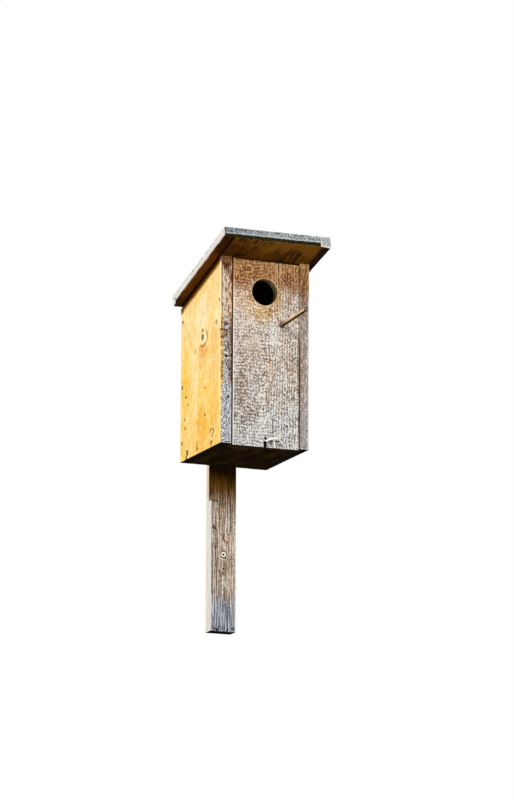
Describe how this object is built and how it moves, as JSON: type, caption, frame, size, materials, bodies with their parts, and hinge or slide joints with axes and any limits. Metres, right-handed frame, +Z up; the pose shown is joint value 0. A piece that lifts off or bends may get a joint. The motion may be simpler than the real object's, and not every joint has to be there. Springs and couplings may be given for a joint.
{
  "type": "nest box on a mounting batten",
  "caption": "Wooden nest box with a round entrance hole, a dowel perch and a single-pitch roof that falls to the rear, fixed to a long vertical mounting batten.",
  "frame": {"origin": "on the batten's flat back face, on its centre line, level with the underside of the box's walls", "axes": "+Z up along the batten, +Y out of the batten's back face into the wall, the entrance hole faces -Y, +X to the right of a viewer of the front"},
  "size_m": [0.201, 0.329, 0.6713],
  "materials": {
    "fresh_softwood": "sawn, little weathered",
    "side_softwood": "sawn, weathered",
    "weathered_softwood": "rough sawn, weathered",
    "plain_softwood": "sawn",
    "dark_softwood": "sawn, damp and dark",
    "roof_softwood": "sawn, weathered grey",
    "batten_softwood": "planed, weathered",
    "dowel": "turned, weathered",
    "rusty_nail": "rusted",
    "bright_nail": "dull zinc",
    "screw_steel": "dull zinc"
  },
  "bodies": {
    "root": {"left_wall": "fresh_softwood", "right_wall": "side_softwood", "front_board": "weathered_softwood", "back_board": "plain_softwood", "floor_board": "dark_softwood", "roof_board": "roof_softwood", "roof_edge_strip": "roof_softwood", "mounting_batten": "batten_softwood", "perch": "dowel", "left_back_nail_1": "rusty_nail", "left_back_nail_2": "rusty_nail", "left_back_nail_3": "rusty_nail", "left_floor_nail_1": "rusty_nail", "left_floor_nail_2": "rusty_nail", "left_floor_nail_3": "rusty_nail", "left_front_nail": "rusty_nail", "right_back_nail_1": "rusty_nail", "right_back_nail_2": "rusty_nail", "right_back_nail_3": "rusty_nail", "right_floor_nail_1": "rusty_nail", "right_floor_nail_2": "rusty_nail", "right_floor_nail_3": "rusty_nail", "right_front_nail": "rusty_nail", "roof_nail_left_front": "rusty_nail", "roof_nail_left_rear": "rusty_nail", "roof_nail_right_front": "rusty_nail", "roof_nail_right_rear": "rusty_nail", "bent_nail": "bright_nail", "lower_wall_screw": "screw_steel", "upper_wall_screw": "screw_steel", "back_screw_lower": "screw_steel", "back_screw_upper": "screw_steel"}
  },
  "joints": []
}
